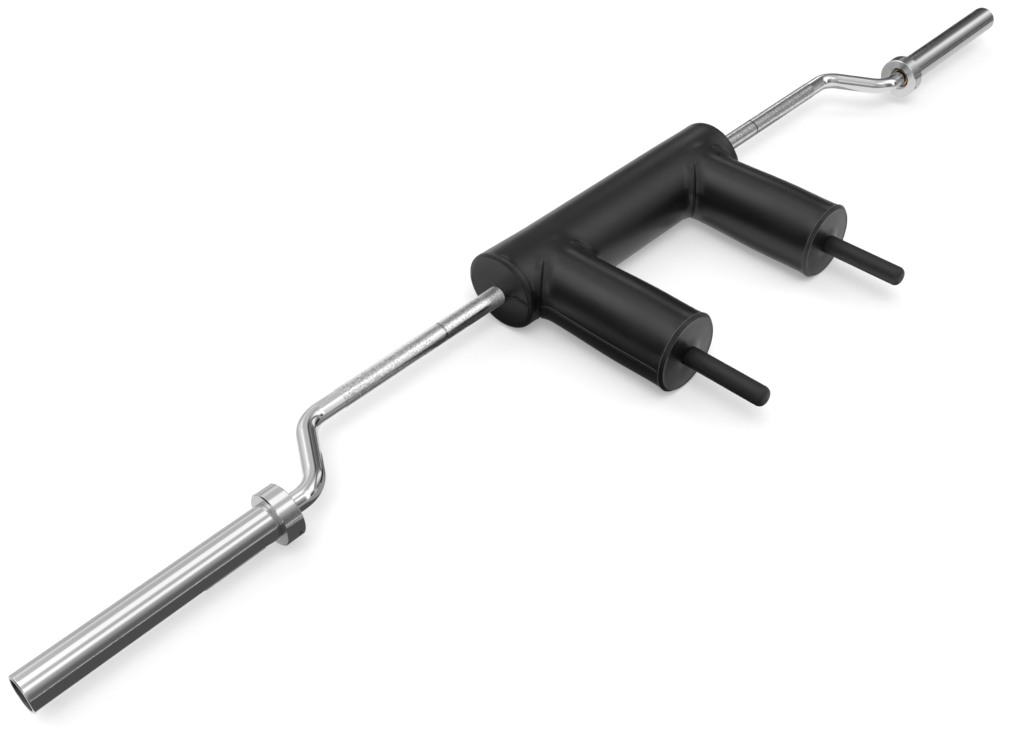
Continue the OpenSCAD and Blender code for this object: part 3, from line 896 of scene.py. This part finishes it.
def half_bar():
    """Stations from the middle of the bar out: distance along X, distance towards the
    sleeve's axis, heading and radius."""
    mark_in, mark_out = RING_MARK - RING_MARK_W / 2, RING_MARK + RING_MARK_W / 2
    mark_r = SHAFT_R - RING_MARK_DEPTH
    stations = [(mark_in, 0, 0, SHAFT_R), (mark_in, 0, 0, mark_r)]
    stations += [(mark_out, 0, 0, mark_r), (mark_out, 0, 0, SHAFT_R)]
    stations += [(KNURL_END, 0, 0, SHAFT_R), (KNURL_END, 0, 0, BEND_BAR_R)]
    for step in range(BEND_STEPS + 1):
        a = BEND_ANGLE * step / BEND_STEPS
        x = BEND_START + BEND_R * math.sin(a)
        stations.append((x, BEND_R * (1 - math.cos(a)), a, BEND_BAR_R))
    for step in range(BEND_STEPS + 1):
        a = BEND_ANGLE * (1 - step / BEND_STEPS)
        x = BEND_START + BEND_RUN - BEND_R * math.sin(a)
        stations.append((x, CAMBER - BEND_R * (1 - math.cos(a)), a, BEND_BAR_R))
    shoulder = SLEEVE_IN + SHOULDER_IN
    ring_low, ring_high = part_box("left_snap_ring")
    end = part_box("left_end_cap")[0].x - 3 * MM
    for x, radius in (
        (shoulder, BEND_BAR_R),
        (shoulder, SPINDLE_R),
        (ring_low.x, SPINDLE_R),
        (ring_low.x, GROOVE_R),
        (ring_high.x, GROOVE_R),
        (ring_high.x, SPINDLE_R),
        (end, SPINDLE_R),
    ):
        stations.append((x, CAMBER, 0, radius))
    return stations


def make_bar(material):
    half = half_bar()
    whole = [(-x, off, -a, radius) for x, off, a, radius in reversed(half)] + half
    aside = Vector((0, SLEEVE_Y - SHAFT_Y, SLEEVE_Z - SHAFT_Z)).normalized()
    up = ALONG.cross(aside)
    rings = []
    for x, off, a, radius in whole:
        middle = Vector((x, SHAFT_Y, SHAFT_Z)) + aside * off
        side = aside * math.cos(a) - ALONG * math.sin(a)
        rings.append(round_ring(middle, side, up, radius, 96))
    piece = ring_mesh("bent_bar", rings, False, material)
    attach(piece, "bar")
    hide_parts("shaft")


# The grips: rubber sleeves on the arms, which sag a little and end in a blunt tip

GRIP_WALL = 2.4 * MM
GRIP_FULL_R = GRIP_R + 0.25 * MM
GRIP_TIP_CORNER = 10 * MM
GRIP_TIP_DOME = 1.3 * MM
GRIP_SHORT = 0.5 * MM
GRIP_SAG = 1.1 * MM


def grip_outline(root, tip, bore_end):
    """Distance in front of the shaft axis, radius and sag, from the end of the bore out to the tip."""
    bore_r = GRIP_R - GRIP_WALL
    outline = [(bore_end, bore_r, 0), (root, bore_r, 0), (root, GRIP_FULL_R, GRIP_SAG)]
    corner_at = tip - GRIP_TIP_DOME - GRIP_TIP_CORNER
    outline.append((corner_at - 3 * MM, GRIP_FULL_R, GRIP_SAG))
    flat_r = GRIP_FULL_R - GRIP_TIP_CORNER
    for step in range(9):
        a = math.radians(90 * step / 8)
        at = corner_at + GRIP_TIP_CORNER * math.sin(a)
        outline.append((at, flat_r + GRIP_TIP_CORNER * math.cos(a), GRIP_SAG))
    for share in (0.75, 0.5, 0.25, 0.05):
        outline.append((tip - GRIP_TIP_DOME * share**2, flat_r * share, GRIP_SAG))
    return outline


def make_grip(side, material):
    sign = SIDES[side]
    low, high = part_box(f"{side}_grip")
    bore_end = SHAFT_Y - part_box(f"{side}_arm")[0].y + 0.1 * MM
    rings = []
    for forward, radius, sag in grip_outline(SHAFT_Y - high.y, SHAFT_Y - low.y - GRIP_SHORT, bore_end):
        middle = Vector((sign * HORN_X, SHAFT_Y - forward, HORN_Z - sag))
        rings.append(round_ring(middle, ALONG, UP, radius, 64))
    piece = ring_mesh(f"{side}_rubber_grip", rings, False, material)
    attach(piece, "bar")
    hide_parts(f"{side}_grip")


# Stitches and piping

PIPING_R = 1.1 * MM
PIPING_FROM = 72 * MM
PIPING_STEPS = 110
STITCH_LENGTH = 3.0 * MM
STITCH_PITCH = 4.2 * MM
THREAD_R = 0.42 * MM
THREAD_SIDES = 6


def stitch(place, way, out):
    """One stitch: a short thread, thin where it dives into the cover at both ends."""
    across = way.cross(out)
    rings = []
    for share, radius, sink in ((-0.5, 0.4, 0.9), (-0.3, 1.0, 0.0), (0.3, 1.0, 0.0), (0.5, 0.4, 0.9)):
        middle = place + way * share * STITCH_LENGTH - out * sink * THREAD_R
        rings.append(round_ring(middle, out, across, radius * THREAD_R, THREAD_SIDES))
    return rings


def make_stitches(name, rows, material):
    """Joins stitches, given as (place, way, out), to one object."""
    points, faces = [], []
    for place, way, out in rows:
        rings = stitch(place, way, out)
        faces += skin_faces(len(rings), THREAD_SIDES, False, len(points))
        points += [point for ring in rings for point in ring]
    piece = mesh_object(name, points, faces, material)
    shade(piece, 60)
    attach(piece, "bar")


def rim_stitches(side, pad, material):
    """Two rows of stitches round a horn, on both sides of the seam round its front."""
    sign = SIDES[side]
    axis = Vector((sign * HORN_X, SHAFT_Y, HORN_Z))
    front = Vector((0, -1, 0))
    rows = []
    count = round(2 * math.pi * RIM_R / STITCH_PITCH)
    for k in range(count):
        a = 2 * math.pi * k / count
        out = Vector((math.cos(a), 0, math.sin(a)))
        way = Vector((-math.sin(a), 0, math.cos(a)))
        beside = axis + front * (RIM_AT - 4.6 * MM) + out * 90 * MM
        before = axis + front * (RIM_AT + 30 * MM) + out * (RIM_R - 4.8 * MM)
        for start, towards in ((beside, -out), (before, -front)):
            hit, place, _, _ = pad.ray_cast(start, towards)
            if hit and place.z > 2 * MM:
                rows.append((place - towards * 0.2 * MM, way, -towards))
    make_stitches(f"{side}_rim_stitches", rows, material)


def side_piping(side, pad, material):
    """The piping sewn into the seam along a horn's outer side, from the yoke to its front."""
    sign = SIDES[side]
    out = Vector((sign, 0, 0))
    rings = []
    first, last = PIPING_FROM, RIM_AT - 6 * MM
    for step in range(PIPING_STEPS + 1):
        forward = first + (last - first) * step / PIPING_STEPS
        start = Vector((sign * (HORN_X + 100 * MM), SHAFT_Y - forward, SIDE_SEAM_Z))
        _, place, _, _ = pad.ray_cast(start, -out)
        taper = min(1.0, 0.35 + 0.2 * min(step, PIPING_STEPS - step))
        middle = place + out * 0.35 * PIPING_R
        rings.append(round_ring(middle, out, UP, PIPING_R * taper, 10))
    piece = ring_mesh(f"{side}_side_piping", rings, False, material)
    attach(piece, "bar")


# The studio

FLOOR_SIZE = 14.0
FLOOR_GREY = 0.62
FLOOR_LIFT = 0.31

# Far from the bar, where a low camera sees it, the floor is lifted to white
FAR_FROM, FAR_TO, FAR_LIFT = 2.2, 5.0, 0.9

KEY_PLACE = Vector((-3.45, -2.79, 7.72))
KEY_TARGET = Vector((0.0, 0.05, 0.0))
KEY_SIZE = (5.2, 5.2)
KEY_POWER = 450


def make_floor():
    s = FLOOR_SIZE
    corners = [(-s, -s, 0), (s, -s, 0), (s, s, 0), (-s, s, 0)]
    nodes = new_material("floor_white")
    path = nodes.add("ShaderNodeLightPath")
    seen = nodes.math("ADD", path.outputs["Is Camera Ray"], path.outputs["Is Glossy Ray"])
    seen = nodes.math("ADD", seen, path.outputs["Is Transmission Ray"])
    seen = nodes.math("MINIMUM", seen, 1.0)
    squares = [nodes.math("POWER", part, 2.0) for part in nodes.split(nodes.place())[:2]]
    away = nodes.math("SQRT", nodes.math("ADD", *squares))
    far = nodes.map_range(away, FAR_FROM, FAR_TO, 0.0, FAR_LIFT)
    far = nodes.math("MULTIPLY", far, path.outputs["Is Camera Ray"])
    lift = nodes.math("ADD", nodes.math("MULTIPLY", seen, FLOOR_LIFT), far)
    material = nodes.finish({
        "Base Color": grey(FLOOR_GREY),
        "Roughness": 0.9,
        "Specular IOR Level": 0.0,
        "Emission Color": grey(1.0),
        "Emission Strength": lift,
    })
    floor = mesh_object("floor", corners, [(0, 1, 2, 3)], material)


# Light round the bar's axis, as (angle up from straight back, level), where 180 is straight ahead.
# Each stretch of the bar mirrors its own set, from the near sleeve to the far one.
SIDE_BANDS = (
    (0, 0.0), (42, 0.0), (50, 0.1), (54, 0.45), (60, 0.75), (80, 0.6), (100, 0.55), (112, 1.4),
    (128, 1.4), (140, 0.6), (160, 0.35), (180, 0.3),
)
HORN_BANDS = (
    (0, 0.55), (30, 0.8), (46, 1.5), (66, 1.5), (78, 0.6), (120, 0.55), (150, 0.4), (180, 0.3),
)
NEAR_BANDS = (
    (0, 0.7), (12, 0.74), (22, 1.3), (32, 1.2), (38, 0.9), (60, 0.92), (67, 1.95), (88, 1.95),
    (94, 0.95), (108, 0.86), (112, 1.95), (124, 1.95), (131, 0.8), (140, 0.62), (148, 0.4),
    (156, 0.26), (166, 0.19), (172, 0.24), (180, 0.3),
)
PLAIN_BANDS = (
    (0, 0.9), (12, 0.7), (24, 0.68), (38, 0.88), (52, 0.88), (62, 0.8), (76, 0.8), (96, 0.8),
    (108, 0.95), (116, 1.8), (132, 1.8), (139, 0.98), (154, 0.88), (164, 0.72), (180, 0.62),
)
BAR_BANDS = (
    (0, 1.8), (16, 1.7), (28, 1.3), (40, 1.0), (51, 0.8), (62, 0.64), (76, 0.52), (86, 0.56),
    (97, 0.9), (106, 1.6), (114, 2.6), (126, 2.6), (134, 2.0), (144, 1.7), (160, 1.7),
    (168, 1.6), (176, 1.25), (180, 1.0),
)
INNER_BANDS = (
    (0, 1.45), (8, 1.3), (18, 0.9), (30, 0.68), (46, 0.55), (64, 0.56), (80, 0.7), (98, 0.9),
    (118, 1.2), (134, 1.45), (144, 2.0), (156, 2.8), (163, 1.8), (170, 0.8), (180, 0.45),
)
END_BANDS = (
    (0, 0.09), (50, 0.07), (68, 0.12), (84, 0.75), (100, 1.6), (112, 2.6), (130, 3.1), (141, 1.6),
    (153, 0.28), (168, 0.06), (180, 0.05),
)
YOKE_BANDS = (
    (0, 0.09), (50, 0.07), (68, 0.12), (84, 0.75), (102, 1.6), (132, 1.75), (146, 0.8),
    (158, 0.2), (168, 0.06), (180, 0.05),
)
SHAFT_BANDS = (
    (0, 0.24), (8, 0.2), (18, 0.3), (26, 1.0), (34, 2.1), (44, 1.9), (52, 0.7), (62, 0.28),
    (78, 0.18), (98, 0.17), (120, 0.26), (150, 0.46), (170, 0.6), (180, 0.8),
)
FAR_BANDS = (
    (0, 0.03), (18, 0.05), (48, 0.12), (72, 0.22), (84, 0.45), (93, 1.05), (104, 1.35), (116, 1.15),
    (130, 0.76), (141, 0.46), (153, 0.3), (164, 0.17), (180, 0.1),
)
ALL_BANDS = (
    SIDE_BANDS, HORN_BANDS, NEAR_BANDS, PLAIN_BANDS, BAR_BANDS, INNER_BANDS, END_BANDS, YOKE_BANDS,
    SHAFT_BANDS, FAR_BANDS,
)
BANDS_TOP = 3.2

# Beyond the near end, diffuse surfaces get no light from the world, between these x
UNLIT_BEYOND = (-0.68, -0.54)

# How bright the world is along X, by (1 + x) / 2
LIT_ALONG = (
    (0.0, 1.0), (0.20, 1.0), (0.28, 1.2), (0.36, 1.35), (0.45, 1.7), (0.515, 1.0), (0.555, 0.92),
    (0.59, 0.78), (0.66, 0.80), (0.72, 1.0),
)

# Where along X one set gives way to the next
BAND_STEPS = (
    (-0.60, -0.50), (-0.06, 0.02), (0.365, 0.39), (0.405, 0.425), (0.47, 0.51), (0.53, 0.55),
    (0.572, 0.592), (0.68, 0.72), (0.79, 0.81),
)


def ramp_stops(bands, whole):
    """Stops for a ramp from bands of (angle, level), where whole is the angle at its end."""
    return [(angle / whole, level / BANDS_TOP) for angle, level in bands]


def make_world():
    """A studio of strip lights that run across the bar, dark low beyond its near end.
    The camera sees plain white."""
    world = bpy.data.worlds.new("studio")
    bpy.context.scene.world = world
    nodes = Nodes(world)
    x, y, z = nodes.split(nodes.add("ShaderNodeTexCoord").outputs["Generated"])
    angle = nodes.math("DIVIDE", nodes.math("ARCTAN2", z, y), math.pi)
    sets = [nodes.ramp(angle, ramp_stops(bands, 180)) for bands in ALL_BANDS]
    level = sets[0]
    for (low, high), bands in zip(BAND_STEPS, sets[1:]):
        level = nodes.mixed(nodes.map_range(x, low, high, 0.0, 1.0), level, bands)
    lit = nodes.ramp(nodes.map_range(x, -1.0, 1.0, 0.0, 1.0), LIT_ALONG)
    level = nodes.math("MULTIPLY", nodes.math("MULTIPLY", level, lit), BANDS_TOP)
    path = nodes.add("ShaderNodeLightPath")
    beyond = nodes.map_range(x, *UNLIT_BEYOND, 1.0, 0.0)
    unlit = nodes.math("MULTIPLY", beyond, path.outputs["Is Diffuse Ray"])
    level = nodes.math("MULTIPLY", level, nodes.math("SUBTRACT", 1.0, unlit))
    light, white = (
        nodes.add("ShaderNodeBackground", {"Color": grey(1.0), "Strength": strength})
        for strength in (level, 1.0)
    )
    shown = nodes.mix_shaders(path.outputs["Is Camera Ray"], light, white)
    nodes.surface(shown, "ShaderNodeOutputWorld")


def make_lamp():
    data = bpy.data.lights.new("key", "AREA")
    data.shape = "RECTANGLE"
    data.size, data.size_y = KEY_SIZE
    data.energy = KEY_POWER
    lamp = bpy.data.objects.new("key", data)
    bpy.context.scene.collection.objects.link(lamp)
    lamp.location = KEY_PLACE
    lamp.rotation_euler = (KEY_TARGET - KEY_PLACE).to_track_quat("-Z", "Y").to_euler()
    lamp.visible_glossy = False


def sheet(x_from, x_to, y_from, y_to):
    """The corners of a rectangle."""
    return [(x_from, y_from), (x_to, y_from), (x_to, y_to), (x_from, y_to)]


# Glowing cards laid beside the bar, which only its mirror surfaces see, as painted reflections: the
# dark ones paint the floor's shade and a dark studio, the bright ones paint light. Name, level and
# corners
CARD_HEIGHT = 1 * MM
CARDS = (
    ("felt", 0.115, [
        (-2.4, -1.6), (-0.66, -1.6), (-0.66, 0.17), (-0.70, 0.17), (-0.78, 0.061), (-2.4, 0.061),
    ]),
    ("sheet", 1.0, sheet(-2.4, -0.87, 0.061, 0.12)),
    ("collar_low", 0.40, sheet(-0.87, -0.78, 0.061, 0.112)),
    ("collar_high", 0.90, sheet(-0.87, -0.78, 0.112, 0.19)),
    ("shaft_felt", 0.42, sheet(-0.66, -0.40, -1.6, 0.10)),
    ("shaft_shade", 0.24, sheet(-0.66, -0.38, 0.10, 0.165)),
    # Painted shade: the floor in the near horn's shadow, as the horn's underside mirrors it
    ("painted_shade_velvet", 0.09, [
        (-0.40, -1.6), (-0.205, -1.6), (-0.205, -0.10), (-0.232, -0.10), (-0.232, 0.17), (-0.262, 0.17),
        (-0.262, 0.25), (-0.31, 0.25), (-0.31, 0.17), (-0.38, 0.17), (-0.38, 0.10), (-0.40, 0.10),
    ]),
    ("dusk", 0.60, [
        (-0.40, 0.17), (-0.31, 0.17), (-0.31, 0.25), (-0.28, 0.25), (-0.28, 0.34), (-0.40, 0.34),
    ]),
    ("face_paper", 0.45, sheet(-0.205, -0.12, -0.165, -0.117)),
    ("far_face_paper", 0.50, sheet(0.14, 0.25, -0.165, -0.117)),
    ("grip_shade", 0.10, sheet(-0.205, -0.143, -0.31, -0.165)),
    ("far_grip_shade", 0.10, sheet(0.159, 0.221, -0.31, -0.165)),
    # Painted shade: the floor in shadow just under the near horn
    ("painted_shade_underlay", 0.14, sheet(-0.232, -0.19, -0.10, 0.17)),
    ("far_painted_shade_underlay", 0.35, sheet(0.095, 0.135, -0.10, 0.12)),
    ("grey_paper", 0.68, [
        (-2.4, 0.19), (-0.80, 0.19), (-0.62, 0.34), (-0.52, 0.62), (-0.30, 1.5), (-0.30, 2.5),
        (-2.4, 2.5),
    ]),
    ("bright_paper", 1.2, [(-0.46, 0.35), (-0.22, 0.35), (-0.10, 0.80), (-0.20, 1.4), (-0.40, 0.60)]),
    ("far_felt", 0.09, [(0.90, 0.13), (4.0, 0.13), (4.0, 3.0), (1.6, 3.0), (1.0, 0.5)]),
    ("far_rim_paper", 0.40, sheet(0.80, 1.15, -2.0, -0.09)),
    ("far_paper", 0.16, sheet(1.15, 4.0, -2.0, -0.09)),
    ("far_sheet", 0.74, sheet(0.80, 4.0, -0.09, 0.125)),
    ("shaft_paper", 0.34, sheet(0.36, 0.55, 0.10, 0.20)),
    ("far_collar_paper", 0.50, sheet(0.55, 0.70, 0.125, 0.20)),
    ("far_collar_sheet", 1.10, sheet(0.58, 0.742, 0.03, 0.125)),
)

# A ring of light close to the pad's near end, with its bands as in the world but all the way round
HALO_LEVEL = 0.55
HALO_GAP = 1.5 * MM
HALO_SIDES = 48
HALO_BANDS = (
    (0, 1.40), (30, 1.10), (60, 0.60), (78, 0.45), (95, 0.70), (112, 1.50), (130, 1.60), (148, 1.10),
    (168, 0.75), (190, 0.40), (215, 0.22), (255, 0.22), (300, 0.60), (360, 1.40),
)


def make_card(name, points, faces, fill):
    """A shape that glows as fill says, and that only mirrors see."""
    nodes = new_material(name)
    nodes.surface(fill(nodes, nodes.add("ShaderNodeEmission")))
    card = mesh_object(name, points, faces, nodes.owner)
    card.visible_camera = False
    card.visible_diffuse = False
    card.visible_shadow = False
    card.visible_transmission = False


def make_floor_card(name, level, corners):
    def even(nodes, glow):
        nodes.fill(glow.inputs, {"Strength": level})
        return glow

    points = [(x, y, CARD_HEIGHT) for x, y in corners]
    make_card(name, points, [tuple(range(len(points)))], even)


def halo_glow(nodes, glow):
    """Stripes of light that shine away from the pad. From behind, the ring is clear."""
    _, y, z = nodes.split(nodes.place())
    down = nodes.math("SUBTRACT", SHAFT_Z, z)
    front = nodes.math("SUBTRACT", SHAFT_Y, y)
    turn = nodes.map_range(nodes.math("ARCTAN2", down, front), -math.pi, math.pi, 0.0, 1.0)
    stripes = nodes.ramp(turn, ramp_stops(HALO_BANDS, 360))
    nodes.fill(glow.inputs, {"Strength": nodes.math("MULTIPLY", stripes, BANDS_TOP * HALO_LEVEL)})
    clear = nodes.add("ShaderNodeBsdfTransparent")
    return nodes.mix_shaders(nodes.add("ShaderNodeNewGeometry").outputs["Backfacing"], glow, clear)


def make_halo():
    centre = Vector((PAD_SHIFT - YOKE_HALF - HALO_GAP, SHAFT_Y, SHAFT_Z))
    points = []
    for radius in (SHAFT_R + MM, YOKE_R - 2 * MM):
        points += round_ring(centre, BACK, UP, radius, HALO_SIDES)
    n = HALO_SIDES
    faces = [(j, (j + 1) % n, n + (j + 1) % n, n + j) for j in range(n)]
    make_card("halo", points, faces, halo_glow)


def make_studio():
    make_floor()
    make_world()
    make_lamp()
    for name, level, corners in CARDS:
        make_floor_card(name, level, corners)
    make_halo()


# The metals of the small parts: colour, roughness and the parts on each side that are made of it
METALS = {
    "bronze": ((0.42, 0.29, 0.16), 0.3, ("thrust_washer", "inner_bush", "outer_bush")),
    "zinc": ((0.55, 0.55, 0.56), 0.32, ("stop_washer", "retaining_washer")),
    "blackened_steel": ((0.07, 0.07, 0.07), 0.42, ("end_cap",)),
    "spring_steel": ((0.05, 0.05, 0.055), 0.40, ("snap_ring", "collar_pin")),
}


def main():
    bpy.context.scene.view_settings.view_transform = "Standard"
    make_camera()
    mirror = chrome_material()
    # The recess and bore are unplated steel, and their colour is darkened well below bare steel as
    # painted shade inside the sleeve's end
    bore = metal_material("bored_steel_painted_shade", (0.16, 0.16, 0.16), 0.38)
    rubber = rubber_material()
    vinyl = vinyl_material()
    knurled = shaft_material()
    looks = {"sleeve": mirror, "collar": mirror, "grip": rubber, "arm": paint_material()}
    for name, (colour, roughness, parts) in METALS.items():
        looks.update(dict.fromkeys(parts, metal_material(name, colour, roughness)))
    dress("shaft", knurled)
    make_bar(knurled)
    for side in SIDES:
        make_sleeve(side, mirror, bore)
        make_grip(side, rubber)
        for part, look in looks.items():
            dress(f"{side}_{part}", look)
    pad = make_pad(vinyl)
    # The black thread is painted grey, as painted highlight on the stitches
    thread = sewn_material("black_thread_painted_highlight", (2600.0, 2.0, 0.5), (0.08, 0.17), 0.45, 0.3)
    piping = sewn_material("black_piping", (1500.0, 3.0, 0.6), (0.012, 0.020), 0.34, 0.15)
    for side in SIDES:
        rim_stitches(side, pad, thread)
        side_piping(side, pad, piping)
    for padded in ("yoke", "left_horn", "right_horn"):
        dress(f"{padded}_cover", vinyl)
        dress(f"{padded}_foam", vinyl)
    make_studio()


main()
